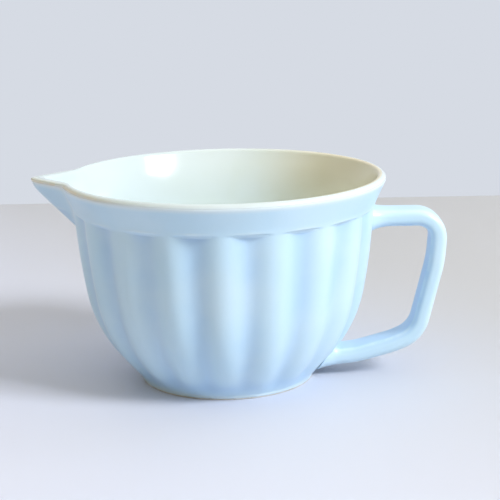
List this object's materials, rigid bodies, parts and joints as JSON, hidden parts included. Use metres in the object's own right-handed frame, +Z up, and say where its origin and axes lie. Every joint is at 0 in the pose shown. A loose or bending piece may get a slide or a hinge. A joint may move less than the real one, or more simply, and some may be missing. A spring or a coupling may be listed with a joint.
{
  "type": "mixing bowl",
  "caption": "Fluted stoneware mixing bowl with a V pouring spout opposite a squared strap handle, pale blue outside and white inside, on a bare foot ring.",
  "frame": {"origin": "centre of the foot ring, on the surface that the bowl stands on", "axes": "+Z up out of the bowl, +X towards the handle, -X towards the spout"},
  "size_m": [0.2062, 0.16, 0.1033],
  "materials": {
    "clay": "matte",
    "slip": "matte",
    "white_glaze": "gloss",
    "blue_glaze": "satin"
  },
  "bodies": {
    "root": {"bowl_body": "clay", "pouring_spout": "clay", "handle": "clay", "spout_slip": "slip", "upper_handle_slip": "slip", "lower_handle_slip": "slip", "lining_glaze": "white_glaze", "outer_glaze": "blue_glaze", "spout_glaze": "blue_glaze", "handle_glaze": "blue_glaze", "underside_glaze": "blue_glaze"}
  },
  "joints": []
}
